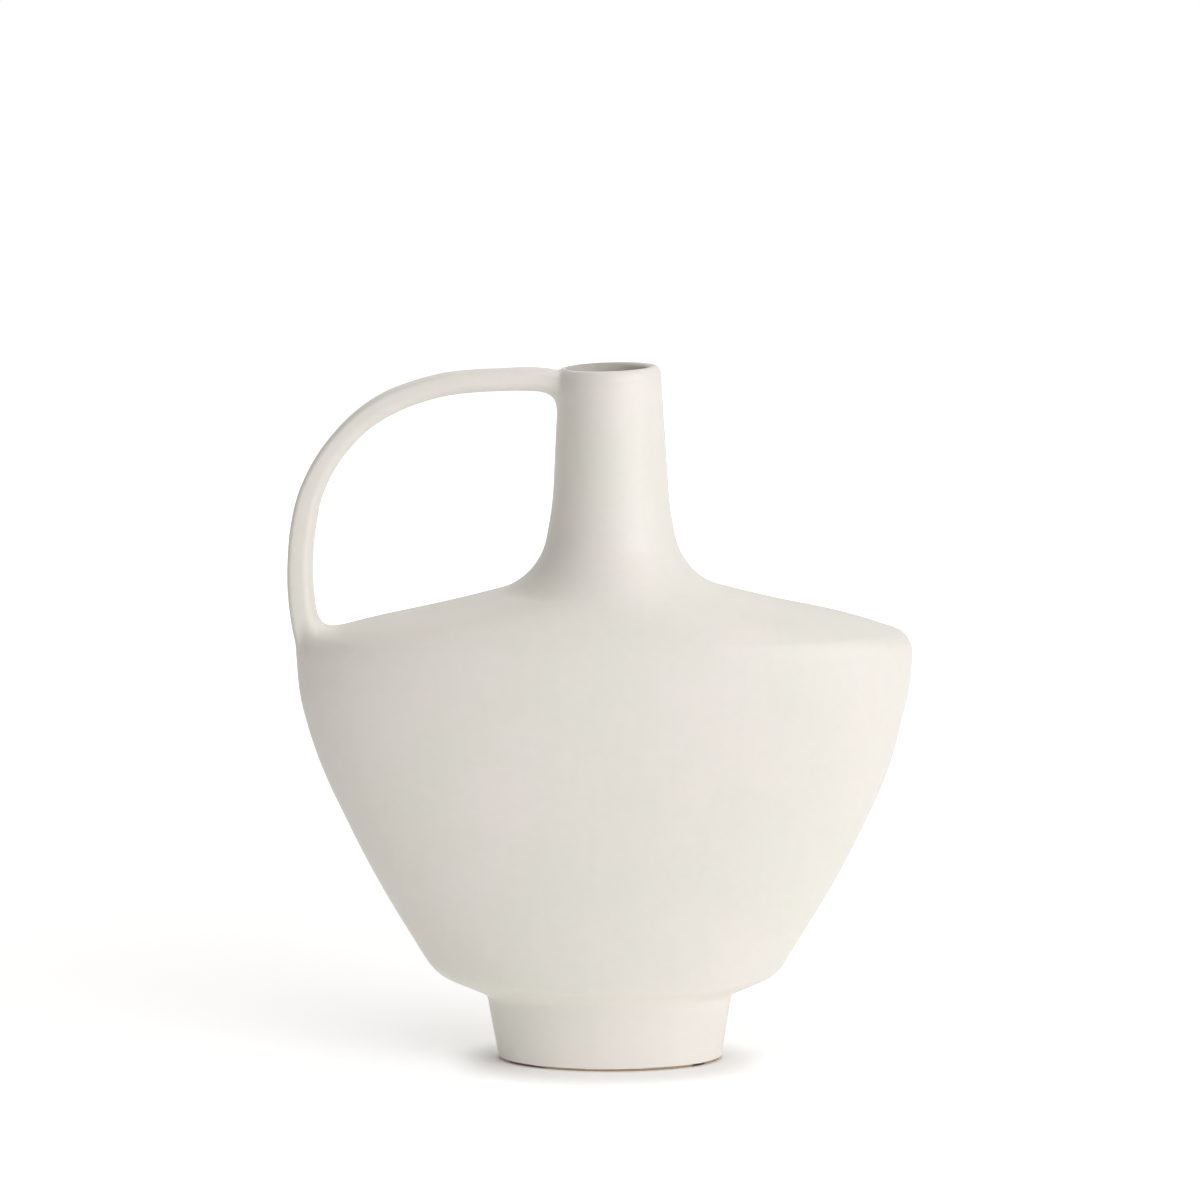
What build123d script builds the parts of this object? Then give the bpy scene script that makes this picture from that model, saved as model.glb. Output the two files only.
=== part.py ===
from build123d import *
import math
import os

# A flattened, oval pottery jug-vase with one strap handle. X runs across its wide side, with the
# handle on the -X side, Y runs from front to back, and Z runs up from the table, on the neck's axis.
# All sizes are in millimetres.

# Heights, each counted from the one before it
foot_height = 27.5
body_height = 156.5
cap_rise = 23.6
neck_rise = 92.4

# Body and neck
wall = 4.8
shoulder_half_width = 131.2
shoulder_half_depth = 47.5
neck_base_half_width = 31.5
mouth_outer_radius = 22.3

# Foot, and the slab that closes it, flush with its underside
foot_top_half_width = 52.6
foot_top_half_depth = 28.6
foot_base_half_width = 48.0
foot_base_half_depth = 25.6
foot_edge_radius = 1.6
floor_thickness = 5.0

# Handle, and the clay worked into the inside corner of each of its two joints
handle_drop = 0.6
handle_overhang = 5.1
strap_width = 16.0
strap_top_thickness = 10.3
strap_side_thickness = 11.8
strap_outer_edge_radius = 2.0
strap_inner_edge_radius = 3.4
lean_rise = 21.0
lean = 5.0
root_drop = 46.0
root_step = 1.4
root_bend_radius = 60.0
upper_joint_radius = 7.0
lower_joint_radius = 8.0

# The spacing of the oval sections along the outline, how far a cut runs past a face, and how near
# an edge lies to the line that it was drawn from
section_spacing = 5.0
overrun = 6.0
drawn_gap = 0.02

# Outline corners, as shares of the way out and up. The belly's lie between the foot's top and the
# shoulder, the cap's between the shoulder and the neck's base, the neck's between that and the mouth.
belly_side_shares = ((0.268, 0.064), (0.589, 0.329), (0.889, 0.645), (0.990, 0.866))
cap_side_shares = ((0.268, 0.339),)
neck_side_shares = ((0.70, 0.329), (1.0, 0.849))
belly_front_shares = ((0.18, 0.026), (1.0, 0.879))
cap_front_shares = ((0.045, 0.056), (0.825, 0.694))

# How much of the shorter run beside it each corner's arc takes up
side_bend_shares = (0.29, 0.45, 0.45, 0.45, 0.37, 0.45, 0.60, 0.30, 0.45)
front_bend_shares = (0.45, 0.45, 0.35, 0.42, 0.30, 0.45)
handle_bend_share = 0.87

# How far up from the neck's base to its waist the shoulder is joined to it, and the lip's rounding
# as a share of the wall
collar_share = 0.28
lip_share = 0.46


def between(start, end, shares):
    """Points at the given shares of the way from start to end."""
    return [
        (start[0] + out * (end[0] - start[0]), start[1] + up * (end[1] - start[1]))
        for out, up in shares
    ]


def bend_radii(points, shares):
    """The radius of each corner's arc, and +1 where the outline turns towards the axis."""
    radii = []
    turns = []
    for before, corner, after, share in zip(points, points[1:], points[2:], shares):
        run_in = Vector(*corner) - Vector(*before)
        run_out = Vector(*after) - Vector(*corner)
        half_turn = math.radians(run_in.get_angle(run_out)) / 2
        radii.append(share * min(run_in.length, run_out.length) / math.tan(half_turn))
        turns.append(math.copysign(1, run_in.cross(run_out).Z))
    return radii, turns


def inset(points, distance):
    """The outline moved towards the axis, with mitred corners."""
    normals = []
    for start, end in zip(points, points[1:]):
        run = (Vector(*end) - Vector(*start)).normalized()
        normals.append(Vector(-run.Y, run.X))
    moved = [Vector(*points[0]) + normals[0] * distance]
    for corner, one, two in zip(points[1:], normals, normals[1:]):
        moved.append(Vector(*corner) + (one + two) * (distance / (1 + one.dot(two))))
    moved.append(Vector(*points[-1]) + normals[-1] * distance)
    return [(point.X, point.Y) for point in moved]


def share_at(line, height):
    """The share of a rising line's length at which it passes a height, by halving the interval."""
    low = 0.0
    high = 1.0
    for _ in range(24):
        middle = (low + high) / 2
        if (line @ middle).Y < height:
            low = middle
        else:
            high = middle
    return low


def half_size_at(outline, height):
    """How far the outline stands from the axis at a height."""
    edges = outline.edges()
    edge = next((edge for edge in edges if (edge @ 1).Y >= height), edges[-1])
    return (edge @ share_at(edge, height)).X


def oval_solid(side, front, low, high):
    """The solid whose oval sections follow a side and a front outline, evenly spaced along it."""
    first = share_at(side, low)
    last = share_at(side, high)
    steps = math.ceil((last - first) * side.length / section_spacing)
    sections = []
    for step in range(steps + 1):
        point = side @ (first + (last - first) * step / steps)
        half_depth = min(point.X, half_size_at(front, point.Y))
        sections.append(Plane.XY.offset(point.Y) * Ellipse(point.X, half_depth))
    return loft(sections)


# Outline corners, as (distance from the axis, height), seen from the front and from the side
shoulder_height = foot_height + body_height
neck_base_height = shoulder_height + cap_rise
overall_height = neck_base_height + neck_rise
shoulder_side = (shoulder_half_width, shoulder_height)
shoulder_front = (shoulder_half_depth, shoulder_height)
neck_base = (neck_base_half_width, neck_base_height)
mouth = (mouth_outer_radius, overall_height)
neck_points = between(neck_base, mouth, neck_side_shares)
cap_points = between(shoulder_side, neck_base, cap_side_shares)
foot_side = (foot_top_half_width, foot_height)
foot_front = (foot_top_half_depth, foot_height)
foot_base_side = (foot_base_half_width, 0)
foot_base_front = (foot_base_half_depth, 0)
side_points = [
    foot_side,
    *between(foot_side, shoulder_side, belly_side_shares),
    shoulder_side,
    *cap_points,
    neck_base,
    *neck_points,
    mouth,
]
front_points = [
    foot_front,
    *between(foot_front, shoulder_front, belly_front_shares),
    *between(shoulder_front, neck_points[0], cap_front_shares),
    *neck_points,
    mouth,
]
side_radii, side_turns = bend_radii(side_points, side_bend_shares)
front_radii, front_turns = bend_radii(front_points, front_bend_shares)
side_outline = FilletPolyline(*side_points, radius=side_radii)
front_outline = FilletPolyline(*front_points, radius=front_radii)


def inner_outline(foot_base, points, radii, turns):
    """The cavity's outline, one wall inside the foot and the body, and open at both ends."""
    inner_radii = [wall]
    for radius, turn in zip(radii, turns):
        inner_radii.append(max(radius - turn * wall, wall / 2))
    overrun_share = -overrun / foot_height
    low_end = between(foot_base, points[0], ((overrun_share, overrun_share),))
    high_end = (mouth_outer_radius, overall_height + overrun)
    return FilletPolyline(*inset([*low_end, *points[:-1], high_end], wall), radius=inner_radii)


girth_height = side_points[4][1]
collar_height = neck_base_height + collar_share * (neck_points[0][1] - neck_base_height)
lip_radius = lip_share * wall

inner_side = inner_outline(foot_base_side, side_points, side_radii, side_turns)
inner_front = inner_outline(foot_base_front, front_points, front_radii, front_turns)
floor = oval_solid(inner_side, inner_front, 0, floor_thickness)
cavity = oval_solid(inner_side, inner_front, floor_thickness, collar_height + 2 * overrun)
belly_envelope = oval_solid(side_outline, front_outline, foot_height, girth_height)
shoulder_envelope = oval_solid(side_outline, front_outline, girth_height, collar_height + overrun)


def turned_neck(outline, low, high):
    """The round solid inside an outline, between two heights."""
    curve = outline.trim(share_at(outline, low), share_at(outline, high))
    face = make_face([curve, Polyline(curve @ 0, (0, low), (0, high), curve @ 1)])
    return revolve(Plane.XZ * face, Axis.Z)


def make_shoulder():
    """Wide, sloping top of the body, cut off level where the neck is joined to it."""
    collar = Plane.XY.offset(collar_height)
    return split(shoulder_envelope - cavity, bisect_by=collar, keep=Keep.BOTTOM)


def make_foot():
    """Oval band that flares up to the belly, with the floor slab inside its base."""
    outer = loft([
        Ellipse(foot_base_half_width, foot_base_half_depth),
        Plane.XY.offset(foot_height) * Ellipse(foot_top_half_width, foot_top_half_depth),
    ])
    outer = fillet(outer.edges().group_by(Axis.Z)[0], foot_edge_radius)
    return outer - floor - cavity


def make_neck_envelope():
    """The neck without its bore, with the outer half of its rounded lip."""
    neck = turned_neck(side_outline, collar_height, overall_height)
    return fillet(neck.edges().filter_by(GeomType.CIRCLE).group_by(Axis.Z)[-1], lip_radius)


def make_neck():
    """Slender round neck with a rounded lip."""
    bore = turned_neck(inner_side, collar_height - overrun, overall_height + overrun)
    neck = neck_envelope - bore
    rims = neck.edges().filter_by(GeomType.CIRCLE).group_by(Axis.Z)[-1]
    return fillet(rims.sort_by(SortBy.RADIUS)[0], lip_radius)


handle_top = overall_height - handle_drop
handle_reach = shoulder_half_width + handle_overhang
strap_underside = handle_top - strap_top_thickness
strap_inner_reach = handle_reach - strap_side_thickness


def make_handle():
    """Strap that leaves the neck level with the lip, bends over and runs down the body's end."""
    lean_height = shoulder_height + lean_rise
    root_height = shoulder_height - root_drop
    bend_radius = handle_bend_share * min(handle_reach, handle_top - lean_height)
    outer_line = FilletPolyline(
        (0, handle_top),
        (-handle_reach, handle_top),
        (-handle_reach, lean_height),
        (-handle_reach + lean, girth_height),
        (-half_size_at(side_outline, root_height) - root_step, root_height),
        radius=[bend_radius, root_bend_radius, root_bend_radius],
    )
    inner_line = FilletPolyline(
        (-strap_inner_reach, shoulder_height),
        (-strap_inner_reach, strap_underside),
        (0, strap_underside),
        radius=bend_radius - (strap_top_thickness + strap_side_thickness) / 2,
    )
    end_on_neck = Line(inner_line @ 1, outer_line @ 0)
    end_in_body = Polyline(outer_line @ 1, (-foot_top_half_width, root_height), inner_line @ 0)
    face = Plane.XZ * make_face([outer_line, end_in_body, inner_line, end_on_neck])
    strap = extrude(face, strap_width / 2, both=True)
    edge_radii = {outer_line: strap_outer_edge_radius, inner_line: strap_inner_edge_radius}
    for line, radius in edge_radii.items():
        for side in (-1, 1):
            rail = Plane.XZ.offset(side * strap_width / 2) * line
            edges = [edge for edge in strap.edges() if rail.distance_to(edge @ 0.5) < drawn_gap]
            strap = fillet(edges, radius)
    return strap - belly_envelope - shoulder_envelope - neck_envelope


def make_joint_coil(corner_face):
    """Clay pressed into a joint's inside corner, as wide as the strap, cut by what it meets."""
    block = extrude(Plane.XZ * corner_face, strap_width / 2, both=True)
    return block - handle - shoulder_envelope - neck_envelope


def make_upper_joint_coil():
    """Concave fillet of clay between the neck and the strap's underside."""
    neck = -half_size_at(side_outline, strap_underside)
    out = (neck - upper_joint_radius, strap_underside)
    down = (neck, strap_underside - upper_joint_radius)
    top = strap_underside + strap_inner_edge_radius
    arc = RadiusArc(out, down, upper_joint_radius)
    sides = Polyline(down, (neck + wall, down[1]), (neck + wall, top), (out[0], top), out)
    return make_joint_coil(make_face([arc, sides]))


def make_lower_joint_coil():
    """Concave fillet of clay between the strap's inner side and the shoulder's cap."""
    cap_width, cap_height = cap_points[0]
    slope = (neck_base_height - cap_height) / (cap_width - neck_base_half_width)
    corner_height = cap_height - slope * (strap_inner_reach - cap_width)
    path = FilletPolyline(
        (-strap_inner_reach, corner_height + 2 * lower_joint_radius),
        (-strap_inner_reach, corner_height),
        (-cap_width, cap_height),
        radius=lower_joint_radius,
    )
    high = path @ 0
    low = path @ 1
    bottom = corner_height - lower_joint_radius
    inside = high.X - strap_inner_edge_radius
    sides = Polyline(low, (low.X, bottom), (inside, bottom), (inside, high.Y), high)
    return make_joint_coil(make_face([path, sides]))


neck_envelope = make_neck_envelope()
handle = make_handle()

parts = {
    "foot": make_foot(),
    "floor": floor,
    "belly": belly_envelope - cavity,
    "shoulder": make_shoulder(),
    "neck": make_neck(),
    "handle": handle,
    "upper_joint_coil": make_upper_joint_coil(),
    "lower_joint_coil": make_lower_joint_coil(),
}

os.makedirs("parts", exist_ok=True)
for node, part in parts.items():
    part.label = node
    export_step(part, f"parts/{node}.step")
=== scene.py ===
import math

import bpy
import numpy as np
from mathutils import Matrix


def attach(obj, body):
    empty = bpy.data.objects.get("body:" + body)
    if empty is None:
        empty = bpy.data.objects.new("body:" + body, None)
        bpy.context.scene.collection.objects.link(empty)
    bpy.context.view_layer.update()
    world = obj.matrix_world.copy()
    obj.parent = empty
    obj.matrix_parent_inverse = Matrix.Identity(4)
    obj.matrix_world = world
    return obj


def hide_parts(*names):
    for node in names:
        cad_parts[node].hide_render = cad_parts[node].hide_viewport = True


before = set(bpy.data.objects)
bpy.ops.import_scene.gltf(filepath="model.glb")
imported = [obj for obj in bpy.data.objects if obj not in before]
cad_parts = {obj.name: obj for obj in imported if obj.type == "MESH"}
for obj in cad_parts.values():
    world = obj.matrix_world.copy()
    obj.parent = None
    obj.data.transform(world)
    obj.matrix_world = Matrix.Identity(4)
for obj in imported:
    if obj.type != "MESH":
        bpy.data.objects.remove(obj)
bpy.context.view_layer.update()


# The vessel's wall
# Foot, belly, shoulder and neck: one hollow wall of pale stoneware, cast, joined and then smoothed
# by hand, so it leans a little. It has a matt warm white glaze down to a bare line at the foot.

MM = 0.001
WALL = 4.8

# Corners of the outline, as (half size, height) in mm, from the foot's underside to the mouth,
# and how much of the shorter run beside it each inner corner's rounding takes up.
SIDE_CORNERS = (
    (48.0, 0), (52.7, 28.5), (73.7, 37.3), (99.2, 79), (122.2, 128.5), (130.6, 163),
    (131.0, 184), (104.5, 192.2), (70.7, 199.0), (31.1, 208.7), (24.9, 240), (22.2, 286),
    (21.9, 300),
)
SIDE_BENDS = (0.11, 0.29, 0.45, 0.45, 0.45, 0.37, 0.45, 0.39, 0.58, 0.30, 0.45)
FRONT_CORNERS = (
    (25.6, 0), (28.9, 31.4), (32.8, 35.2), (47.5, 165), (46.5, 187), (29, 221.5),
    (24.9, 240), (22.2, 286), (21.9, 300),
)
FRONT_BENDS = (0.42, 0.45, 0.45, 0.35, 0.42, 0.30, 0.45)

# How close the outline's points lie, how many a corner's arc has, and over how many of them the
# inside's turns are softened
LINE_STEP = 0.25
ARC_POINTS = 25
SOFTENED_OVER = 13

# How the hand-smoothed pot departs from true: (height, sideways shift, sideways slope of the rings)
LEAN = np.array((
    (0, 1.8, 0), (24, 1.6, 0), (48, 0.2, 0), (120, 0, 0), (150, -0.4, 0.003), (178, -0.25, 0.008),
    (186, -0.3, 0.01), (196, 0.8, 0.013), (206, 1.9, 0.016), (216, 2.1, 0.017), (240, 2.0, 0.014),
    (280, 1.6, 0.024), (300, 1.4, 0.033),
))

# The wave that hand-smoothing leaves on the skin: (radians per mm across, along and up, and at the
# start) of each of its three swings, how deep it is, and over which heights it fades in and out
LONG_SWING = (0.043, 0, 0.021, 0.4)
CROSS_SWING = (0, 0.052, -0.037, 0)
SHORT_SWING = (-0.027, 0.033, 0.061, 1.3)
SHORT_SHARE = 0.6
WAVE_DEPTH = 0.16
WAVE_FADES_IN = (2, 12)
WAVE_FADES_OUT = (298, 286)

# The lip, rolled softer outside than inside, on a wall that thins towards it. Its bore sits off the
# neck's middle, and moves there over the last stretch.
LIP_TOP = 299.3
LIP_MIDDLE = 19.3
LIP_OUTER_DROP = 4.4
LIP_INNER_DROP = 2.0
LIP_WALL = 4.2
LIP_THINS_FROM = 275.0
BORE_SHIFT = -1.2
BORE_SHIFTS_OVER = (240, 290)

# The foot's underside: the flat part of the ring ends in a small roll at each edge
FOOT_ROLL = 1.6
FOOT_INNER_ROLL = 0.5
FOOT_FLAT_MARGIN = 0.4
FOOT_FLATTEST = 0.48

# The floor's top, how far below it the wall's inside starts, how far above it the foot's own oval
# still holds, and the gap round the slab
FLOOR_TOP = 5.0
INSIDE_BELOW = 1.0
FOOT_OVAL_ABOVE = 0.5
FLOOR_GAP = 0.15

# Rings of the skin: (finest spacing, coarsest spacing, turn between two) in mm and radians. The
# spacing may grow by a factor over a few points of the line, and by a length from each point to the
# next, and passes carry both along the line.
OUTER_RINGS = (0.45, 2.8, 0.10)
INNER_RINGS = (0.8, 4.0, 0.16)
RING_STRETCH = 1.08
STRETCH_POINTS = 3
STRETCH_PASSES = 3
RING_GROWTH = 0.05
GROWTH_PASSES = 60
WALL_COLUMNS = 240
MERGED_WITHIN = 2e-6
TINY = 1e-6


def evenly(path, step):
    """The same path as points a small step apart."""
    runs = np.hypot(*np.diff(path[:, :2], axis=0).T)
    along = np.concatenate(([0], np.cumsum(runs)))
    marks = np.linspace(0, along[-1], int(along[-1] / step) + 1)
    return np.stack([np.interp(marks, along, column) for column in path.T], axis=1)


def rounded(corners, bends):
    """Points along a line through the corners, each corner turned on an arc."""
    corners = [np.array(corner, float) for corner in corners]
    points = [corners[0]]
    for before, corner, after, bend in zip(corners, corners[1:], corners[2:], bends):
        back = before - corner
        on = after - corner
        setback = bend * min(np.linalg.norm(back), np.linalg.norm(on))
        back = back / np.linalg.norm(back)
        on = on / np.linalg.norm(on)
        half_angle = math.acos(np.clip(back @ on, -1, 1)) / 2
        radius = setback * math.tan(half_angle)
        middle = (back + on) / np.linalg.norm(back + on)
        centre = corner + middle * radius / math.sin(half_angle)
        start = corner + back * setback - centre
        turn = math.pi - 2 * half_angle
        if start[0] * on[1] - start[1] * on[0] < 0:
            turn = -turn
        for angle in np.linspace(0, turn, ARC_POINTS):
            cos, sin = math.cos(angle), math.sin(angle)
            spun = (cos * start[0] - sin * start[1], sin * start[0] + cos * start[1])
            points.append(centre + spun)
    points.append(corners[-1])
    return evenly(np.array(points), LINE_STEP)


side = rounded(SIDE_CORNERS, SIDE_BENDS)
front = rounded(FRONT_CORNERS, FRONT_BENDS)


def half_width(height):
    """How far the skin stands to either side of the middle at a height."""
    return np.interp(height, side[:, 1], side[:, 0])


def half_depth(height):
    """How far the skin stands to the front and the back at a height."""
    return np.minimum(half_width(height), np.interp(height, front[:, 1], front[:, 0]))


def fade(low, high, value):
    """0 at low and 1 at high, in a straight line between; low may be the larger one."""
    return np.clip((value - low) / (high - low), 0, 1)


def ease(low, high, value):
    """The same, with a soft start and end."""
    part = fade(low, high, value)
    return part * part * (3 - 2 * part)


def lean_at(height):
    """The sideways shift and slope of the ring at a height, eased between the rows above."""
    at = np.interp(height, LEAN[:, 0], np.arange(len(LEAN)))
    row = np.minimum(at.astype(int), len(LEAN) - 2)
    part = ease(0, 1, at - row)
    low, high = LEAN[row], LEAN[row + 1]
    shift = low[..., 1] + (high[..., 1] - low[..., 1]) * part
    slope = low[..., 2] + (high[..., 2] - low[..., 2]) * part
    return shift, slope


def hand_wave(points):
    """How far hand-smoothing leaves the skin proud of the true form, in mm."""
    swings = (LONG_SWING, CROSS_SWING, SHORT_SWING)
    long, cross, short = [points @ swing[:3] + swing[3] for swing in swings]
    wave = np.sin(long) * np.cos(cross) + SHORT_SHARE * np.sin(short)
    free = fade(*WAVE_FADES_IN, points[:, 2]) * fade(*WAVE_FADES_OUT, points[:, 2])
    return -WAVE_DEPTH * wave * free


def inner_wall(line, thickness):
    """A line moved into the clay by the wall's thickness, its turns softened."""
    run = np.gradient(line, axis=0)
    run /= np.linalg.norm(run, axis=1)[:, None]
    beside = SOFTENED_OVER // 2
    padded = np.pad(run, ((beside, beside), (0, 0)), "edge")
    shares = np.ones(SOFTENED_OVER) / SOFTENED_OVER
    run = np.stack([np.convolve(column, shares, "valid") for column in padded.T], axis=1)
    run /= np.linalg.norm(run, axis=1)[:, None]
    return line + np.stack([-run[:, 1], run[:, 0]], axis=1) * thickness


def ring_marks(line, finest, coarsest, turn):
    """Places along a dense line for rings, closer together where it bends tightly."""
    run = np.gradient(line, axis=0)
    heading = np.unwrap(np.arctan2(run[:, 1], run[:, 0]))
    length = np.hypot(run[:, 0], run[:, 1])
    bend = np.abs(np.gradient(heading)) / length
    spacing = np.clip(turn / np.maximum(bend, TINY), finest, coarsest)
    for _ in range(STRETCH_PASSES):
        beside = np.minimum(np.roll(spacing, STRETCH_POINTS), np.roll(spacing, -STRETCH_POINTS))
        spacing = np.minimum(spacing, beside * RING_STRETCH)
    for _ in range(GROWTH_PASSES):
        beside = np.minimum(np.roll(spacing, 1), np.roll(spacing, -1))
        spacing = np.minimum(spacing, np.maximum(beside + RING_GROWTH, finest))
    rings = np.concatenate(([0], np.cumsum(length / spacing)))[:-1]
    places = np.linspace(0, rings[-1], int(rings[-1]) + 1)
    return line[np.interp(places, rings, np.arange(len(line))).astype(int)]


def arc(centre, radii, start, end, count):
    """Points on a quarter of an oval, from one angle to another, in degrees."""
    angles = np.radians(np.linspace(start, end, count))
    return np.array(centre) + np.stack([np.cos(angles), np.sin(angles)], axis=1) * radii


# The outline all the way round the wall: the underside of the foot ring, up the outside, over the
# lip, down the inside and through the floor slab back to the start.
inner_side = inner_wall(side, WALL)
inner_front = inner_wall(front, WALL)
inner_foot = np.interp(FLOOR_TOP, inner_side[:, 1], inner_side[:, 0])
foot_inner = SIDE_CORNERS[0][0] - WALL
lip_outer = half_width(LIP_TOP) - LIP_MIDDLE
lip_bore = half_width(LIP_TOP) - LIP_WALL
lip_inner = LIP_MIDDLE - lip_bore
outer_lip_low = LIP_TOP - LIP_OUTER_DROP
inner_lip_low = LIP_TOP - LIP_INNER_DROP
outside = side[(side[:, 1] > FOOT_ROLL) & (side[:, 1] < outer_lip_low)]
inside_low = FLOOR_TOP - INSIDE_BELOW
inside = inner_side[(inner_side[:, 1] > inside_low) & (inner_side[:, 1] < inner_lip_low)]
thinned = fade(LIP_THINS_FROM, inner_lip_low, inside[:, 1])
inside[:, 0] += (lip_bore - inside[-1, 0]) * thinned ** 2
inner_roll_middle = foot_inner + FOOT_INNER_ROLL
outer_roll_middle = half_width(FOOT_ROLL) - FOOT_ROLL
flat_from = (inner_roll_middle + FOOT_INNER_ROLL, 0)
flat_to = (outer_roll_middle - FOOT_FLAT_MARGIN, 0)
outer_line = np.concatenate([
    arc((inner_roll_middle, FOOT_INNER_ROLL), (FOOT_INNER_ROLL, FOOT_INNER_ROLL), 180, 270, 5),
    np.linspace(flat_from, flat_to, 5),
    arc((outer_roll_middle, FOOT_ROLL), (FOOT_ROLL, FOOT_ROLL), 270, 360, 11),
    ring_marks(outside, *OUTER_RINGS),
    arc((LIP_MIDDLE, outer_lip_low), (lip_outer, LIP_OUTER_DROP), 0, 90, 17),
])
inner_line = np.concatenate([
    arc((LIP_MIDDLE, inner_lip_low), (lip_inner, LIP_INNER_DROP), 90, 180, 11)[1:],
    ring_marks(inside[::-1], *INNER_RINGS)[1:],
    ((foot_inner, FOOT_INNER_ROLL),),
])


def depth_of(half, height, from_outside):
    """The half depth that goes with a half width: of the foot's ring, the outside or the inside."""
    foot_taper = FRONT_CORNERS[0][0] - SIDE_CORNERS[0][0]
    foot_grows = (FRONT_CORNERS[1][0] - SIDE_CORNERS[1][0] - foot_taper) / SIDE_CORNERS[1][1]
    foot = np.maximum(half + foot_taper + foot_grows * height, half * FOOT_FLATTEST)
    line = front if from_outside else inner_front
    body = np.minimum(half, np.interp(height, line[:, 1], line[:, 0]))
    return np.where(height < FLOOR_TOP + FOOT_OVAL_ABOVE, foot, body)


def outline_curves(line, name, split):
    """Two curves for the ring tree: half width, half depth and height, then shift and slope."""
    half, height = line.T
    is_outside = np.arange(len(line)) < split
    depth = np.where(is_outside, depth_of(half, height, True), depth_of(half, height, False))
    shift, slope = lean_at(height)
    inside_lip = fade(LIP_MIDDLE, lip_bore, half)
    shift = shift + BORE_SHIFT * inside_lip * fade(*BORE_SHIFTS_OVER, height)
    made = []
    rows = ((half * MM, depth * MM, height * MM), (shift * MM, slope, height * MM))
    for kind, columns in zip(("outline", "lean"), rows):
        curve = bpy.data.curves.new(f"{name}_{kind}", "CURVE")
        curve.dimensions = "3D"
        spline = curve.splines.new("POLY")
        spline.points.add(len(line) - 1)
        points = np.stack([*columns, np.ones(len(line))], axis=1)
        spline.points.foreach_set("co", points.ravel())
        guide = bpy.data.objects.new(curve.name, curve)
        bpy.context.scene.collection.objects.link(guide)
        made.append(guide)
    return made


class Wire:
    """A socket in a node tree that sums and products can be written with."""

    def __init__(self, socket):
        self.socket = socket

    def combine(self, operation, *others, swapped=False):
        """The result of a maths node on this socket and the others."""
        values = [self, *others]
        if swapped:
            values.reverse()
        made = add_node(self.socket.id_data, "ShaderNodeMath", {"operation": operation})
        for place, value in enumerate(values):
            set_input(made, place, value)
        return Wire(made.outputs[0])

    def __add__(self, other):
        return self.combine("ADD", other)

    def __radd__(self, other):
        return self.combine("ADD", other)

    def __sub__(self, other):
        return self.combine("SUBTRACT", other)

    def __rsub__(self, other):
        return self.combine("SUBTRACT", other, swapped=True)

    def __mul__(self, other):
        return self.combine("MULTIPLY", other)

    def __rmul__(self, other):
        return self.combine("MULTIPLY", other)

    def __truediv__(self, other):
        return self.combine("DIVIDE", other)

    def __mod__(self, other):
        return self.combine("MODULO", other)


def set_input(made, place, value):
    """Link a wire to an input, or set the input to a plain value."""
    if isinstance(value, Wire):
        made.id_data.links.new(value.socket, made.inputs[place])
    else:
        made.inputs[place].default_value = value


def add_node(tree, kind, settings=None, inputs=None):
    """One node, with its settings made first and then its inputs, linked or plain."""
    made = tree.nodes.new(kind)
    for name, value in (settings or {}).items():
        setattr(made, name, value)
    for place, value in (inputs or {}).items():
        set_input(made, place, value)
    return made


# The tree that lays oval rings along an outline and closes them into one skin
rings = bpy.data.node_groups.new("oval_rings", "GeometryNodeTree")
for label, kind in (
    ("Outline", "NodeSocketObject"), ("Lean", "NodeSocketObject"),
    ("Columns", "NodeSocketInt"), ("Finish", "NodeSocketMaterial"),
):
    rings.interface.new_socket(label, in_out="INPUT", socket_type=kind)
rings.interface.new_socket("Skin", in_out="OUTPUT", socket_type="NodeSocketGeometry")
given = add_node(rings, "NodeGroupInput")
guide_shapes = []
for label in ("Outline", "Lean"):
    guide = Wire(given.outputs[label])
    guide = add_node(rings, "GeometryNodeObjectInfo", None, {"Object": guide})
    guide_shapes.append(Wire(guide.outputs["Geometry"]))
size = add_node(rings, "GeometryNodeAttributeDomainSize", {"component": "CURVE"}, {
    0: guide_shapes[0],
})
ring_count = Wire(size.outputs["Point Count"])
columns = Wire(given.outputs["Columns"])
grid = add_node(rings, "GeometryNodeMeshGrid", None, {
    "Size X": 1.0, "Size Y": 1.0, "Vertices X": columns + 1, "Vertices Y": ring_count,
})
index = Wire(add_node(rings, "GeometryNodeInputIndex").outputs[0])
place = Wire(add_node(rings, "GeometryNodeInputPosition").outputs[0])
ring = index % ring_count
column = (index / ring_count).combine("FLOOR")
angle = column * (2 * math.pi) / columns
sampled = []
read_points = {"data_type": "FLOAT_VECTOR", "domain": "POINT"}
for shape in guide_shapes:
    sample = add_node(rings, "GeometryNodeSampleIndex", read_points, {
        "Geometry": shape, "Value": place, "Index": ring,
    })
    parts = add_node(rings, "ShaderNodeSeparateXYZ", None, {0: Wire(sample.outputs[0])})
    sampled.append([Wire(socket) for socket in parts.outputs])
(half, depth, height), (shift, slope, _) = sampled
across = half * angle.combine("COSINE") + shift
spot = add_node(rings, "ShaderNodeCombineXYZ", None, {
    "X": across, "Y": depth * angle.combine("SINE"), "Z": height + across * slope,
})
laid = add_node(rings, "GeometryNodeSetPosition", None, {
    "Geometry": Wire(grid.outputs["Mesh"]), "Position": Wire(spot.outputs[0]),
})
closed = add_node(rings, "GeometryNodeMergeByDistance", None, {
    "Geometry": Wire(laid.outputs[0]), "Distance": MERGED_WITHIN,
})
smooth = add_node(rings, "GeometryNodeSetShadeSmooth", None, {"Geometry": Wire(closed.outputs[0])})
real = add_node(rings, "GeometryNodeRealizeInstances", None, {"Geometry": Wire(smooth.outputs[0])})
dressed = add_node(rings, "GeometryNodeSetMaterial", None, {
    "Geometry": Wire(real.outputs[0]), "Material": Wire(given.outputs["Finish"]),
})
add_node(rings, "NodeGroupOutput", None, {0: Wire(dressed.outputs[0])})


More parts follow.
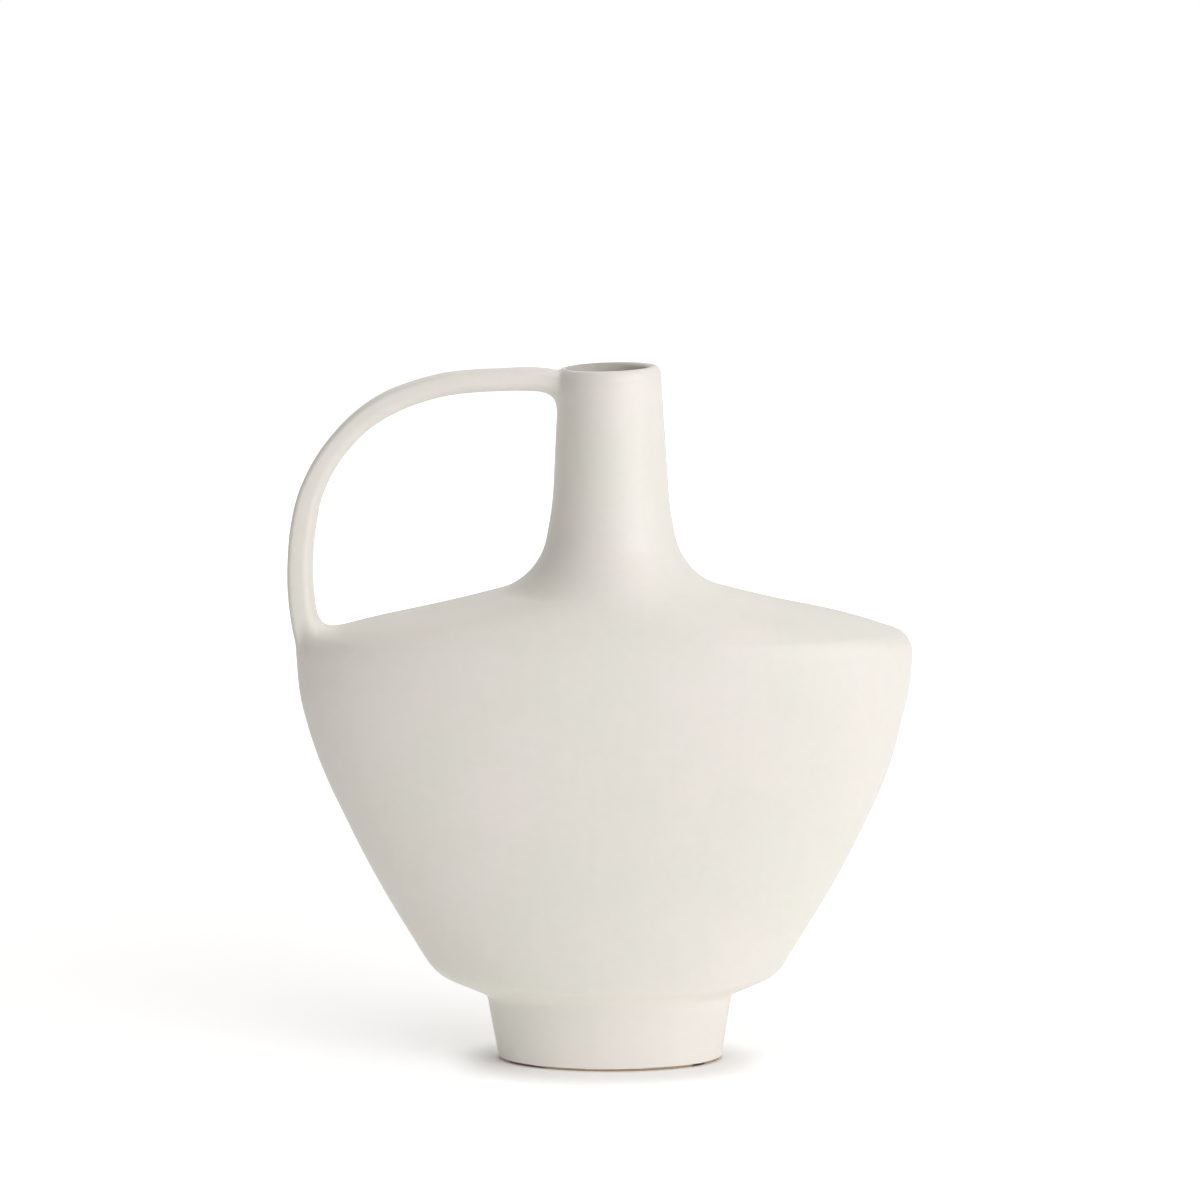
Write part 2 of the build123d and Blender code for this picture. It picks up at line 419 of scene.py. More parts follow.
def make_rings(name, line, split, column_count, finish):
    """Lay the rings for one piece, and keep the result as a plain mesh that faces outwards."""
    guides = outline_curves(line, name, split)
    made = bpy.data.objects.new(name, bpy.data.meshes.new(name))
    bpy.context.scene.collection.objects.link(made)
    modifier = made.modifiers.new("rings", "NODES")
    modifier.node_group = rings
    sockets = {item.name: item.identifier for item in rings.interface.items_tree}
    values = {"Outline": guides[0], "Lean": guides[1], "Columns": column_count, "Finish": finish}
    for label, value in values.items():
        modifier[sockets[label]] = value
    bpy.context.view_layer.update()
    depsgraph = bpy.context.evaluated_depsgraph_get()
    mesh = bpy.data.meshes.new_from_object(made.evaluated_get(depsgraph))
    made.modifiers.clear()
    made.data = mesh
    mesh.name = name
    for guide in guides:
        bpy.data.objects.remove(guide)
    if sum(face.center.dot(face.normal) * face.area for face in mesh.polygons) < 0:
        mesh.flip_normals()
    return made


def work_by_hand(piece):
    """Move a piece's skin out or in by the wave that hand-smoothing leaves."""
    mesh = piece.data
    count = len(mesh.vertices)
    points = np.empty(count * 3)
    normals = np.empty(count * 3, np.float32)
    mesh.vertices.foreach_get("co", points)
    mesh.vertex_normals.foreach_get("vector", normals)
    points = points.reshape(-1, 3)
    moved = points + normals.reshape(-1, 3) * hand_wave(points / MM)[:, None] * MM
    mesh.vertices.foreach_set("co", moved.ravel())
    mesh.update()


# The glaze: matt and warm white, faintly clouded, with a fine orange-peel and grain. It stops in a
# wavering line just above the table, where the clay shows tan, with two dark patches at the foot's
# edge: painted shade from under the foot on the left, and a small near-black spot on the right.
GLAZE = (0.776, 0.752, 0.692, 1)
GLAZE_PINK = (0.795, 0.747, 0.688, 1)
GLAZE_GREEN = (0.758, 0.748, 0.66, 1)
CLAY = (0.36, 0.26, 0.17, 1)
# The near-black of the foot's dark patches; in the left one it is painted shade
DARK_PATCH_CLAY = (0.045, 0.028, 0.018, 1)
CERAMIC_IOR = 1.45

# The line where the glaze stops: its height, how far it wavers and how soft its edge is, in mm
GLAZE_LINE = 1.15
GLAZE_LINE_WAVER = 1.1
GLAZE_LINE_EDGE = (-0.1, 0.15)

# (x, y, reach, strength) of each dark patch at the foot's edge, in mm, and the share of its reach
# where it fades. The left patch is painted shade from under the foot; the right one is a small
# near-black spot.
DARK_PATCHES = ((39.7, -15.7, 3.9, 1.0), (-35.0, -16.6, 11.0, 0.72))
DARK_PATCH_FADES = (0.7, 1.0)
DARK_PATCH_WAVER = 0.6

# Waves per metre of each pattern in the glaze and the clay under it, and how rough they all are
CLOUDS = 16
STREAKS = (170, 170, 14)
FLECKS = 240
PEEL = 330
GRAIN = 1900
LINE_WAVES = 55
CLAY_FLECKS = 900
PATTERN_ROUGHNESS = 0.55

# How much of the tint the clouds carry, and how far the patterns shade, roughen and raise the glaze
CLOUD_RANGE = (0.38, 0.62)
CLOUD_TINT = 0.5
CLOUD_SHADE = 0.03
STREAK_SHADE = 0.03
FLECK_SHADE = 0.05
GLAZE_ROUGHNESS = 0.44
CLOUD_ROUGHNESS = 0.12
FLECK_ROUGHNESS = 0.2
BARE_ROUGHNESS = 0.4
PEEL_RELIEF = 0.035
GRAIN_RELIEF = 0.009
GLAZE_RELIEF = 0.25
CLAY_SHADES = (0.8, 0.4)

glaze = bpy.data.materials.new("matt_white_glaze")
glaze.use_nodes = True
tree = glaze.node_tree
tree.nodes.clear()
spot = Wire(add_node(tree, "ShaderNodeTexCoord").outputs["Object"])


def noise(tree, where, scale, detail, stretch=(1, 1, 1)):
    """A cloud of values about a half, its scale counted in waves per metre."""
    if stretch != (1, 1, 1):
        mapped = add_node(tree, "ShaderNodeMapping", None, {"Vector": where, "Scale": stretch})
        where = Wire(mapped.outputs[0])
    made = add_node(tree, "ShaderNodeTexNoise", None, {
        "Vector": where, "Scale": scale, "Detail": detail, "Roughness": PATTERN_ROUGHNESS,
    })
    return Wire(made.outputs["Fac"])


def between(tree, low, high, value):
    """0 below low and 1 above high, eased in between."""
    made = add_node(tree, "ShaderNodeMapRange", {"interpolation_type": "SMOOTHSTEP"}, {
        "Value": value, "From Min": low, "From Max": high,
    })
    return Wire(made.outputs["Result"])


def mix_colours(tree, share, one, other):
    """One colour, with a share of the other mixed in."""
    made = add_node(tree, "ShaderNodeMix", {"data_type": "RGBA"}, {0: share, 6: one, 7: other})
    return Wire(made.outputs[2])


def shade_colour(tree, colour, shade):
    """A colour made darker or lighter by a factor."""
    made = add_node(tree, "ShaderNodeVectorMath", {"operation": "SCALE"}, {0: colour, 3: shade})
    return Wire(made.outputs[0])


def swing(pattern, amount):
    """A pattern's rise and fall about nothing, as large as the amount from end to end."""
    return (pattern - 0.5) * amount


def finish_surface(tree, colour, roughness, relief):
    """Close a material on its colour, its roughness and its relief in mm."""
    bump = add_node(tree, "ShaderNodeBump", None, {
        "Height": relief, "Strength": 1.0, "Distance": MM,
    })
    shader = add_node(tree, "ShaderNodeBsdfPrincipled", None, {
        "Base Color": colour, "Roughness": roughness, "IOR": CERAMIC_IOR,
        "Normal": Wire(bump.outputs[0]),
    })
    add_node(tree, "ShaderNodeOutputMaterial", None, {"Surface": Wire(shader.outputs[0])})


clouds = noise(tree, spot, CLOUDS, 3)
streaks = noise(tree, spot, 1, 3, STREAKS)
flecks = noise(tree, spot, FLECKS, 4)
peel = noise(tree, spot, PEEL, 3)
grain = noise(tree, spot, GRAIN, 3)
tint = mix_colours(tree, between(tree, *CLOUD_RANGE, clouds), GLAZE_GREEN, GLAZE_PINK)
body_colour = mix_colours(tree, CLOUD_TINT, tint, GLAZE)
shade = 1 + swing(streaks, STREAK_SHADE) + swing(flecks, FLECK_SHADE) + swing(clouds, CLOUD_SHADE)
body_colour = shade_colour(tree, body_colour, shade)

where = add_node(tree, "ShaderNodeSeparateXYZ", None, {0: spot})
across, along, up = [Wire(socket) for socket in where.outputs]
waver = noise(tree, spot, LINE_WAVES, 3)
line_height = (GLAZE_LINE + swing(waver, GLAZE_LINE_WAVER)) * MM
line_low, line_high = [edge * MM for edge in GLAZE_LINE_EDGE]
bare = 1 - between(tree, line_low, line_high, up - line_height)
patches = []
# The foot's dark patches: painted shade from under the foot on the left, a small dark spot on the
# right
for patch_x, patch_y, reach, strength in DARK_PATCHES:
    from_x = across - patch_x * MM
    from_y = along - patch_y * MM
    distance = (from_x * from_x + from_y * from_y).combine("SQRT") / (reach * MM)
    faded = between(tree, *DARK_PATCH_FADES, distance + swing(waver, DARK_PATCH_WAVER))
    patches.append((1 - faded) * strength)
darkened = patches[0].combine("MAXIMUM", patches[1])
clay_tone = noise(tree, spot, CLAY_FLECKS, 4)
clay_colour = mix_colours(tree, darkened, CLAY, DARK_PATCH_CLAY)
clay_colour = shade_colour(tree, clay_colour, CLAY_SHADES[0] + clay_tone * CLAY_SHADES[1])
surface = mix_colours(tree, bare, body_colour, clay_colour)
roughness = GLAZE_ROUGHNESS + swing(clouds, CLOUD_ROUGHNESS) + swing(flecks, FLECK_ROUGHNESS)
roughness = roughness + bare * BARE_ROUGHNESS
relief = swing(peel, PEEL_RELIEF) + swing(grain, GRAIN_RELIEF) + (1 - bare) * GLAZE_RELIEF
finish_surface(tree, surface, roughness, relief)

wall_line = np.concatenate([outer_line, inner_line])
vase_wall = make_rings("vase_wall", wall_line, len(outer_line), WALL_COLUMNS, glaze)
work_by_hand(vase_wall)
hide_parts("foot", "belly", "shoulder", "neck")
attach(vase_wall, "root")


# The floor slab
# A flat oval slab of the same clay that closes the foot, set in flush with its underside and left
# unglazed below, so it shows tan there, with fine grit and the sponge marks of cleaning.

FLOOR_COLUMNS = 160
CLAY_STAINED = (0.45, 0.345, 0.24, 1)
CLAY_PALE = (0.54, 0.43, 0.31, 1)
STAINS = 60
GRIT = 1500
WIPES = (60, 520, 60)
STAIN_RANGE = (0.3, 0.7)
SLAB_SHADE = 0.82
GRIT_SHADE = 0.24
WIPE_SHADE = 0.1
SLAB_ROUGHNESS = 0.93
STAIN_SMOOTHS = 0.1
GLAZE_SMOOTHS = 0.3
GRIT_RELIEF = 0.05
WIPE_RELIEF = 0.08

# The slab is glazed inside: the heights in mm between which the clay gives way to glaze
GLAZED_FROM = (4.7, 4.9)

# The underside, as (distance in from the edge, height) in mm: hollow in the middle, flat at the rim
SLAB_HOLLOW = 0.25
SLAB_SLOPE = ((8, 0.05), (6, 0.02))
SLAB_ROLL = 0.4

# The slab's side, which widens with the foot, and its upper edge
SLAB_SIDE = (0.2, 2.5)
SLAB_TOP_ROLL = (0.5, 0.3)
SLAB_TOP_RIM = 3

bare_clay = bpy.data.materials.new("bare_clay")
bare_clay.use_nodes = True
tree = bare_clay.node_tree
tree.nodes.clear()
spot = Wire(add_node(tree, "ShaderNodeTexCoord").outputs["Object"])
stains = noise(tree, spot, STAINS, 4)
grit = noise(tree, spot, GRIT, 4)
wiped = noise(tree, spot, 1, 3, WIPES)
up = Wire(add_node(tree, "ShaderNodeSeparateXYZ", None, {0: spot}).outputs["Z"])
colour = mix_colours(tree, between(tree, *STAIN_RANGE, stains), CLAY_STAINED, CLAY_PALE)
colour = shade_colour(tree, colour, SLAB_SHADE + grit * GRIT_SHADE + wiped * WIPE_SHADE)
glazed_low, glazed_high = [height * MM for height in GLAZED_FROM]
glazed_inside = between(tree, glazed_low, glazed_high, up)
surface = mix_colours(tree, glazed_inside, colour, GLAZE)
roughness = SLAB_ROUGHNESS - stains * STAIN_SMOOTHS - glazed_inside * GLAZE_SMOOTHS
finish_surface(tree, surface, roughness, grit * GRIT_RELIEF + wiped * WIPE_RELIEF)

slab_edge = foot_inner - FLOOR_GAP
slope_in, slope_out = [(slab_edge - distance, height) for distance, height in SLAB_SLOPE]
roll_in = slab_edge - SLAB_ROLL
slab_line = np.concatenate([
    np.linspace((0, SLAB_HOLLOW), slope_in, 12),
    np.linspace(slope_out, (roll_in, 0), 4),
    arc((roll_in, SLAB_ROLL), (SLAB_ROLL, SLAB_ROLL), 270, 360, 5)[1:],
    (
        (slab_edge + SLAB_SIDE[0], SLAB_SIDE[1]),
        (inner_foot - FLOOR_GAP, FLOOR_TOP - SLAB_TOP_ROLL[1]),
        (inner_foot - SLAB_TOP_ROLL[0], FLOOR_TOP),
    ),
    np.linspace((inner_foot - SLAB_TOP_RIM, FLOOR_TOP), (0, FLOOR_TOP), 10),
])
vase_floor = make_rings("vase_floor", slab_line, len(slab_line), FLOOR_COLUMNS, bare_clay)
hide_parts("floor")
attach(vase_floor, "root")


# The handle
# One strap of the same clay, luted on at the lip and again at the shoulder's end, where its root is
# smoothed so far into the wall that no line shows. Both joints are worked over with wet slip.

# Middle of the strap from inside the lip to under the skin of the belly: (x, z, thickness) in mm
STRAP = np.array((
    (-10, 288.9, 9.0), (-15, 290.8, 9.1), (-20, 292.5, 9.3), (-25.5, 293.65, 9.4),
    (-34, 294.1, 9.3), (-45, 293.8, 9.0), (-55.3, 293.3, 9.1), (-68.1, 291.8, 9.2),
    (-80.5, 288.5, 9.3), (-92.5, 283.6, 9.6), (-103.3, 276.5, 9.4), (-112.4, 267.3, 9.4),
    (-119.9, 256.7, 9.7), (-125.35, 244.8, 10.1), (-128.25, 232.2, 10.6), (-129.7, 219.2, 10.55),
    (-129.8, 205, 10.8), (-128.3, 191, 10.9), (-125.1, 174.5, 10.8), (-123.3, 158, 10.8),
    (-118.2, 141, 10.8), (-110, 123, 10.8), (-100, 108, 10.8),
))
STRAP_POINTS = 700
STRAP_WIDTH = 16.0
STRAP_CROWN = 0.5
EDGE_RADIUS_OUTER = 1.9
EDGE_RADIUS_INNER = 4.2

# The joints' fillets on the strap's outer face, its sides and its inner face, in mm, how far past
# their radius they reach, and where along and across the strap one gives way to the next
UPPER_FILLETS = (2.0, 2.0, 7.0)
LOWER_FILLETS = (3.6, 8.0, 9.5)
FILLET_REACH = 1.7
UPPER_JOINT_OVER = (225, 255)
INNER_FILLET_OVER = (-1, 5)
OUTER_FILLET_OVER = (1, -5)

# How deep the handle's skin goes on under the wall's, how far it sinks beyond its fillets, and over
# which share of their reach
BURIED = 2.4
SUNK = 0.7
SUNK_OVER = (-0.12, 0.3)

# Where the skin ends: a share of the fillets' reach and a margin away from the strap, and at the
# neck also outside the lip's middle and at the strap's own end
KEPT_REACH = 1.3
KEPT_MARGIN = 1.0
NECK_FROM = 230.0
LIP_MARGIN = 0.3
STRAP_END = -5.0

# What stands for the distance where none is worked out, and the least slope of the lip's roll that
# a distance is divided by
FAR = 100.0
LIP_LEAST_STEEP = 0.05

# The net that the handle's skin is laid with, its box and mesh in mm, and how it is relaxed
NET_LOW = (-141.0, -32.0, 112.0)
NET_HIGH = (0.0, 32.0, 304.0)
NET_STEP = 0.8
NET_AROUND = 24.0
RELAX_PASSES = 4
RELAX_SHARE = 0.5
SLOPE_STEP = 0.05


def smooth_path(points, count):
    """Points on a smooth curve through the given ones."""
    steps = np.linalg.norm(np.diff(points[:, :2], axis=0), axis=1) ** 0.5
    knots = np.concatenate(([0], np.cumsum(steps)))
    tangents = np.gradient(points, knots, axis=0)
    marks = np.linspace(0, knots[-1], count)
    span = np.minimum(np.searchsorted(knots, marks, "right") - 1, len(points) - 2)
    length = (knots[span + 1] - knots[span])[:, None]
    part = (marks[:, None] - knots[span][:, None]) / length
    start, end = points[span], points[span + 1]
    keep = (1 + 2 * part) * (1 - part) ** 2
    made = keep * start + (1 - keep) * end
    made += part * (1 - part) ** 2 * length * tangents[span]
    return made - part ** 2 * (1 - part) * length * tangents[span + 1]


# The grid that holds distances in the strap's plane: its ends and its step in mm, and how far short
# of its last line, in steps, a point is still read
PLANE_ENDS_X = (-150, 0)
PLANE_ENDS_Z = (90, 312)
PLANE_STEP = 0.5
SHORT_OF_EDGE = 0.001
plane_x = np.arange(*PLANE_ENDS_X, PLANE_STEP)
plane_z = np.arange(*PLANE_ENDS_Z, PLANE_STEP)
spot_x, spot_z = np.meshgrid(plane_x, plane_z, indexing="ij")


def beside_line(line):
    """At every place in the strap's plane, how far to the left of a line it lies, which way the
    line faces there, and which of its points is the nearest."""
    heading = np.gradient(line, axis=0)
    heading /= np.linalg.norm(heading, axis=1)[:, None]
    nearest = np.zeros(spot_x.shape, int)
    nearest_gap = np.full(spot_x.shape, np.inf)
    for row, (x, z) in enumerate(line):
        gap = (spot_x - x) ** 2 + (spot_z - z) ** 2
        closer = gap < nearest_gap
        nearest[closer] = row
        nearest_gap[closer] = gap[closer]
    facing = np.stack([-heading[:, 1], heading[:, 0]], axis=1)[nearest]
    offset = (spot_x - line[nearest, 0]) * facing[..., 0]
    offset += (spot_z - line[nearest, 1]) * facing[..., 1]
    return offset, facing, nearest


middle = smooth_path(STRAP, STRAP_POINTS)
plane_offset, _, nearest = beside_line(middle[:, :2])
plane_half = middle[nearest, 2] / 2
wall_side = side[side[:, 1] > plane_z[0]][::2] * (-1, 1)
wall_offset, wall_facing, _ = beside_line(wall_side)


def from_plane(field, x, z):
    """A field of the strap's plane read at points between its grid's own."""
    at_x = np.clip((x - plane_x[0]) / PLANE_STEP, 0, len(plane_x) - 1 - SHORT_OF_EDGE)
    at_z = np.clip((z - plane_z[0]) / PLANE_STEP, 0, len(plane_z) - 1 - SHORT_OF_EDGE)
    col, row = at_x.astype(int), at_z.astype(int)
    part_x, part_z = at_x - col, at_z - row
    low = field[col, row] * (1 - part_x) + field[col + 1, row] * part_x
    high = field[col, row + 1] * (1 - part_x) + field[col + 1, row + 1] * part_x
    return low * (1 - part_z) + high * part_z


def strap_distance(x, y, z):
    """How far a point is outside the strap, and how far in from its middle."""
    offset = from_plane(plane_offset, x, z)
    half = from_plane(plane_half, x, z)
    radius = np.where(offset > 0, EDGE_RADIUS_INNER, EDGE_RADIUS_OUTER)
    crown = STRAP_CROWN * np.minimum(offset / half, 1) ** 2
    over = np.abs(offset) - half + radius
    beside = np.abs(y) - STRAP_WIDTH / 2 + crown + radius
    outer = np.hypot(np.maximum(over, 0), np.maximum(beside, 0))
    return outer + np.minimum(np.maximum(over, beside), 0) - radius, offset


def wall_distance(x, y, z):
    """How far a point is outside the vessel's outer skin, its lip rolled over at the top."""
    height = z
    for _ in range(2):
        shift, slope = lean_at(height)
        height = z - x * slope
    x = x - shift
    flatness = half_width(height) / half_depth(height)
    reach = np.maximum(np.hypot(x, y * flatness), TINY)
    steep = np.hypot(x, y * flatness ** 2) / reach
    level = from_plane(wall_facing[..., 0], -reach, height) * steep
    skin = from_plane(wall_offset, -reach, height)
    skin = skin / np.hypot(level, from_plane(wall_facing[..., 1], -reach, height))
    out = np.maximum((np.hypot(x, y) - LIP_MIDDLE) / lip_outer, 0)
    up = (height - outer_lip_low) / LIP_OUTER_DROP
    roll = np.hypot(out, up)
    roll_steep = np.hypot(out / lip_outer, up / LIP_OUTER_DROP) / np.maximum(roll, TINY)
    lip = (roll - 1) / np.maximum(roll_steep, LIP_LEAST_STEEP)
    skin = np.where(up > 0, lip, skin)
    points = np.stack([x, y, z], axis=-1)
    return skin - hand_wave(points.reshape(-1, 3)).reshape(x.shape)


def luted(x, y, z, sunk):
    """How far a point is outside the strap and wall taken as one, with filleted joints."""
    strap, offset = strap_distance(x, y, z)
    wall = wall_distance(x, y, z)
    upper = ease(*UPPER_JOINT_OVER, z)
    outer_fillet, side_fillet, inner_fillet = [
        low + (high - low) * upper for low, high in zip(LOWER_FILLETS, UPPER_FILLETS)
    ]
    fillet = side_fillet + (inner_fillet - side_fillet) * ease(*INNER_FILLET_OVER, offset)
    fillet = fillet + (outer_fillet - side_fillet) * ease(*OUTER_FILLET_OVER, offset)
    fillet = fillet * FILLET_REACH
    wall_sunk = wall + sunk * ease(*SUNK_OVER, strap / fillet - 1)
    blend = np.maximum(1 - np.abs(strap - wall_sunk) / fillet, 0)
    joined = np.minimum(strap, wall_sunk) - blend ** 3 * fillet / 6
    return joined, strap, wall, fillet


def handle_solid(x, y, z):
    """How far a point is outside the handle: the luted strap, cut off under the wall's skin."""
    joined, strap, wall, fillet = luted(x, y, z, SUNK)
    axis_x = lean_at(z)[0]
    in_lip = np.maximum(LIP_MIDDLE + LIP_MARGIN - np.hypot(x - axis_x, y), x - STRAP_END)
    in_lip = np.where(z > NECK_FROM, in_lip, -FAR)
    beyond = strap - fillet * KEPT_REACH - KEPT_MARGIN
    return np.maximum.reduce([joined, -wall - BURIED, beyond, in_lip])


def surface_net(field, low, step):
    """A closed net of four-sided faces on the surface where a field passes through nothing."""
    inside = field < 0
    cells = np.array(field.shape) - 1
    corners = [(i, j, k) for i in (0, 1) for j in (0, 1) for k in (0, 1)]
    total = np.zeros(cells, int)
    for i, j, k in corners:
        total += inside[i:cells[0] + i, j:cells[1] + j, k:cells[2] + k]
    crossed = (total > 0) & (total < 8)
    spots = np.argwhere(crossed)
    number = np.full(cells, -1)
    number[crossed] = np.arange(len(spots))
    where = np.zeros((len(spots), 3))
    met = np.zeros(len(spots))
    for axis in range(3):
        for i in (0, 1):
            for j in (0, 1):
                start = np.insert(np.array((i, j)), axis, 0)
                end = np.insert(np.array((i, j)), axis, 1)
                one = field[tuple((spots + start).T)]
                other = field[tuple((spots + end).T)]
                changes = (one < 0) != (other < 0)
                part = one[changes] / (one[changes] - other[changes])
                point = spots[changes] + start
                point = point + part[:, None] * (end - start)
                where[changes] += point
                met[changes] += 1
    faces = []
    for axis in range(3):
        ahead = np.moveaxis(inside, axis, 0)
        changes = np.argwhere(ahead[:-1] != ahead[1:])
        changes = changes[(changes[:, 1] > 0) & (changes[:, 2] > 0)]
        leaves = ahead[:-1][tuple(changes.T)]
        turned = np.moveaxis(number, axis, 0)
        quad = np.stack([
            turned[changes[:, 0], changes[:, 1] - i, changes[:, 2] - j]
            for i, j in ((1, 1), (0, 1), (0, 0), (1, 0))
        ], axis=1)
        flip = leaves if axis == 1 else ~leaves
        quad[flip] = quad[flip][:, ::-1]
        faces.append(quad)
    return low + where / met[:, None] * step, np.concatenate(faces)


axes = [np.arange(low, high, NET_STEP) for low, high in zip(NET_LOW, NET_HIGH)]
grid_x, grid_y, grid_z = np.meshgrid(*axes, indexing="ij")
from_strap, _ = strap_distance(grid_x, grid_y, grid_z)
near = from_strap < NET_AROUND
field = np.full(grid_x.shape, FAR)
field[near] = handle_solid(grid_x[near], grid_y[near], grid_z[near])
points, faces = surface_net(field, np.array(NET_LOW), NET_STEP)


def slope_of(points):
    """Which way the joined skin faces at each point."""
    found = []
    for axis in range(3):
        ahead, behind = points.copy(), points.copy()
        ahead[:, axis] += SLOPE_STEP
        behind[:, axis] -= SLOPE_STEP
        found.append((luted(*ahead.T, 0)[0] - luted(*behind.T, 0)[0]) / (2 * SLOPE_STEP))
    return np.stack(found, axis=1)


# Relax the net along the skin, then pull it back onto it
edges = np.concatenate([faces[:, (i, (i + 1) % 4)] for i in range(4)])
for _ in range(RELAX_PASSES):
    total = np.zeros_like(points)
    count = np.zeros(len(points))
    np.add.at(total, edges[:, 0], points[edges[:, 1]])
    np.add.at(count, edges[:, 0], 1)
    points = points + RELAX_SHARE * (total / count[:, None] - points)
    joined, strap, wall, fillet = luted(*points.T, SUNK)
    on_skin = (-wall < BURIED - KEPT_MARGIN) & (strap < fillet * KEPT_REACH)
    facing = slope_of(points)
    facing /= np.maximum((facing ** 2).sum(1), TINY)[:, None]
    points[on_skin] -= (joined[:, None] * facing)[on_skin]

handle_mesh = bpy.data.meshes.new("vase_handle")
handle_mesh.from_pydata((points * MM).tolist(), [], faces.tolist())
handle_mesh.update()
facing = slope_of(points)
facing /= np.maximum(np.linalg.norm(facing, axis=1), TINY)[:, None]
for polygon in handle_mesh.polygons:
    polygon.use_smooth = True
handle_mesh.normals_split_custom_set_from_vertices(facing.tolist())
handle_mesh.materials.append(glaze)
vase_handle = bpy.data.objects.new("vase_handle", handle_mesh)
bpy.context.scene.collection.objects.link(vase_handle)
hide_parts("handle", "upper_joint_coil", "lower_joint_coil")
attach(vase_handle, "root")


# The table and the light
# A matt white table that runs out of sight into a white room, with four large soft windows: two to
# the right of the camera, one high above the vase and one behind it. Seen directly or mirrored, the
# room is white and the table nearly so, and only the shade beside the foot darkens it: partly cast,
# partly painted as a weaker glow of the table there.

TABLE_SIZE = 12.0
TABLE_COLOUR = (0.95, 0.945, 0.94, 1)
TABLE_ROUGHNESS = 0.9

# How strongly the table glows where it is seen: at the foot's edge, a little way off and far off,
# and the distances in metres over which one gives way to the next. The weaker glow at the foot's
# edge is painted shade, and it lies a little ahead of the foot's middle, by so many mm.
TABLE_GLOWS = (0.08, 0.4, 0.9)
FOOT_SHADE_OVER = (-0.002, 0.026)
FAR_GLOW_OVER = (0.16, 1.2)
SHADE_AHEAD = 8

# How strongly the table glows upon the vase, and the room's light where it isn't seen
BOUNCE = 0.27
ROOM_LIGHT = (0.15, 0.148, 0.146, 1)
WHITE = (1, 1, 1, 1)

table_mesh = bpy.data.meshes.new("table_top")
reach = TABLE_SIZE / 2
table_corners = [(-reach, -reach, 0), (reach, -reach, 0), (reach, reach, 0), (-reach, reach, 0)]
table_mesh.from_pydata(table_corners, [], [(0, 1, 2, 3)])
table_top = bpy.data.objects.new("table_top", table_mesh)
bpy.context.scene.collection.objects.link(table_top)

white_top = bpy.data.materials.new("white_table")
white_top.use_nodes = True
tree = white_top.node_tree
tree.nodes.clear()


def shows_white(tree):
    """1 for the rays that show the white room, straight to the camera or in a reflection."""
    path = add_node(tree, "ShaderNodeLightPath")
    seen = Wire(path.outputs["Is Camera Ray"])
    for kind in ("Is Glossy Ray", "Is Transmission Ray"):
        seen = seen.combine("MAXIMUM", Wire(path.outputs[kind]))
    return seen


def grey(value):
    """A colour with no hue."""
    return value, value, value, 1


# The distance from the foot's edge: how far a place is past the foot's oval, as a share of the
# oval's size, over how fast that share grows there
where = Wire(add_node(tree, "ShaderNodeTexCoord").outputs["Object"])
length = add_node(tree, "ShaderNodeVectorMath", {"operation": "LENGTH"}, {0: where})
away = Wire(length.outputs["Value"])
parts = add_node(tree, "ShaderNodeSeparateXYZ", None, {0: where})
across, along, _ = [Wire(socket) for socket in parts.outputs]
foot_half_width = SIDE_CORNERS[0][0] * MM
foot_half_depth = FRONT_CORNERS[0][0] * MM
across = (across - LEAN[0][1] * MM) / foot_half_width
along = (along + SHADE_AHEAD * MM) / foot_half_depth
rounds = (across * across + along * along).combine("SQRT")
across = across / foot_half_width
along = along / foot_half_depth
from_foot = (rounds - 1) * rounds / (across * across + along * along).combine("SQRT")
painted_shade_glow, near_glow, far_glow = [grey(value) for value in TABLE_GLOWS]
# The table glows less near the foot: painted shade beside it
glow = mix_colours(tree, between(tree, *FOOT_SHADE_OVER, from_foot), painted_shade_glow, near_glow)
glow = mix_colours(tree, between(tree, *FAR_GLOW_OVER, away), glow, far_glow)
glow = mix_colours(tree, shows_white(tree), grey(BOUNCE), glow)
shader = add_node(tree, "ShaderNodeBsdfPrincipled", None, {
    "Base Color": TABLE_COLOUR, "Roughness": TABLE_ROUGHNESS, "Specular IOR Level": 0.0,
    "Emission Color": glow, "Emission Strength": 1.0,
})
add_node(tree, "ShaderNodeOutputMaterial", None, {"Surface": Wire(shader.outputs[0])})
table_mesh.materials.append(white_top)

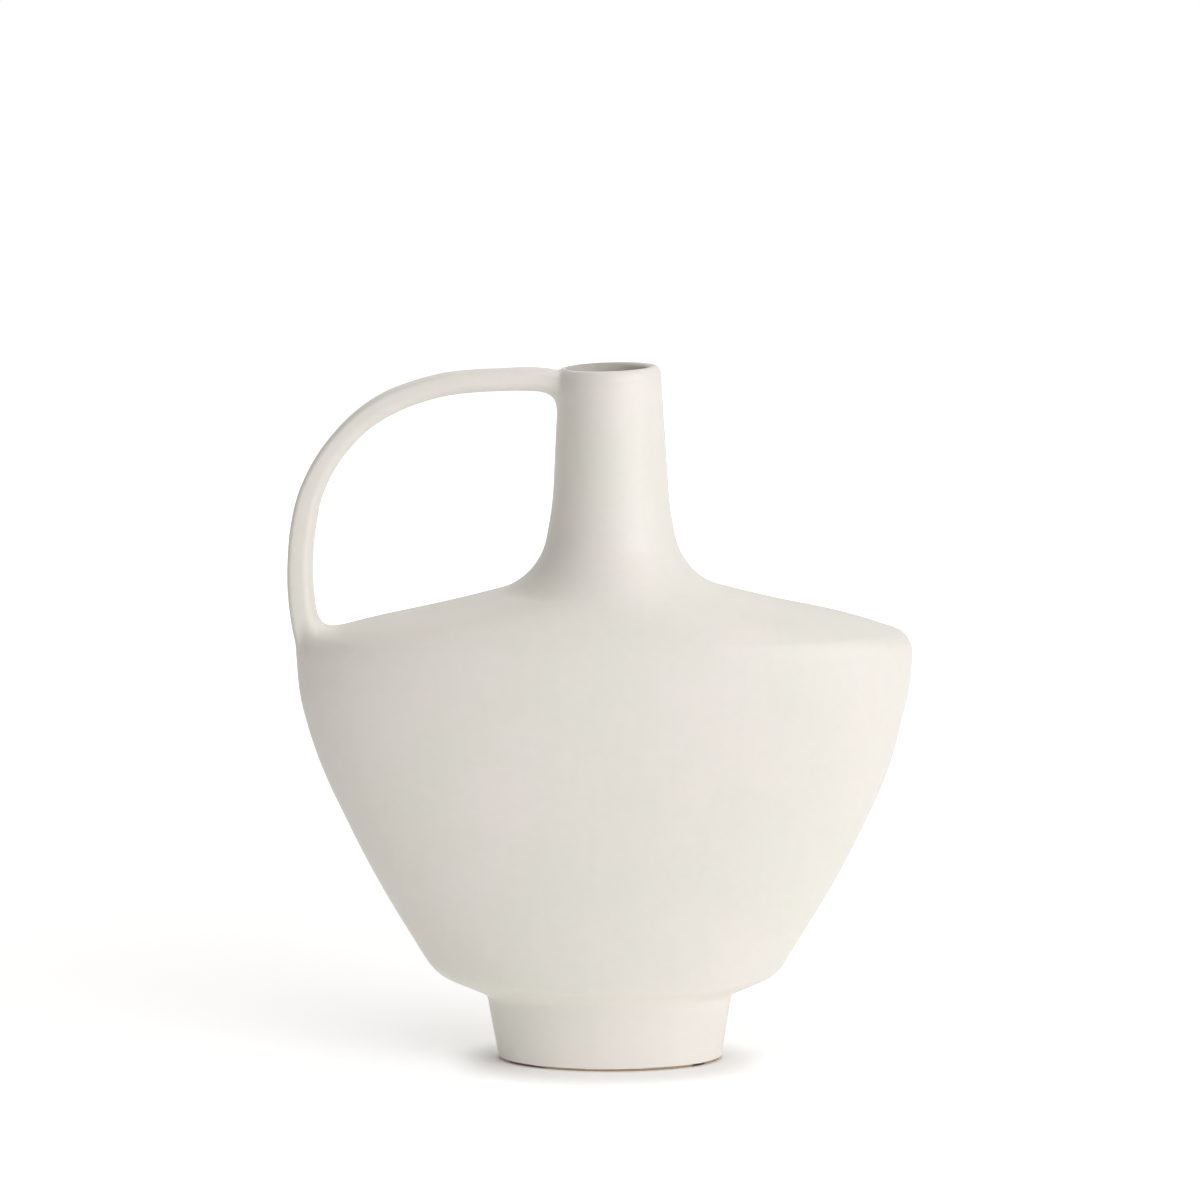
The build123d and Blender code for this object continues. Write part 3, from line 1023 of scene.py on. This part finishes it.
room = bpy.data.worlds.new("white_room")
room.use_nodes = True
tree = room.node_tree
tree.nodes.clear()
shown = mix_colours(tree, shows_white(tree), ROOM_LIGHT, WHITE)
light = add_node(tree, "ShaderNodeBackground", None, {"Color": shown, "Strength": 1.0})
add_node(tree, "ShaderNodeOutputWorld", None, {"Surface": Wire(light.outputs[0])})
bpy.context.scene.world = room

# (name, degrees to the right of the camera, height, distance, size, watts, colour) of each window,
# and the height on the vase that they face
WINDOW_AIM = 0.15
WINDOWS = (
    ("window_right", 44, 0.5, 2.8, 2.6, 62, (0.99, 0.98, 1.022)),
    ("window_high", 60, 1.7, 2.2, 2.2, 10, (0.995, 0.98, 1.0)),
    ("window_above", 8, 3.2, 0.4, 2.4, 33, (1.0, 0.983, 0.95)),
    ("window_behind", 172, 2.1, 1.8, 2.4, 13, (1.0, 0.985, 0.965)),
)
for name, azimuth, height, distance, size, watts, colour in WINDOWS:
    window_data = bpy.data.lights.new(name, "AREA")
    window_data.shape = "SQUARE"
    window_data.size = size
    window_data.energy = watts
    window_data.color = colour
    window = bpy.data.objects.new(name, window_data)
    turn = math.radians(azimuth)
    window.location = (distance * math.sin(turn), -distance * math.cos(turn), height)
    tilt = math.atan2(height - WINDOW_AIM, distance)
    window.rotation_euler = (math.pi / 2 - tilt, 0, turn)
    bpy.context.scene.collection.objects.link(window)


# The camera
# A long lens two metres in front of the vase, some twenty centimetres above its mouth and tipped
# down towards the belly, so that the lip and the foot show as flat ovals.

CAMERA_PLACE = (-0.0026, -2.0, 0.512)
CAMERA_DIP = 8.875
LENS = 142.74
SENSOR_WIDTH = 36

camera_data = bpy.data.cameras.new("camera")
camera_data.lens = LENS
camera_data.sensor_width = SENSOR_WIDTH
camera = bpy.data.objects.new("camera", camera_data)
camera.location = CAMERA_PLACE
camera.rotation_euler = (math.radians(90 - CAMERA_DIP), 0, 0)
bpy.context.scene.collection.objects.link(camera)
bpy.context.scene.camera = camera
bpy.context.scene.view_settings.view_transform = "Standard"
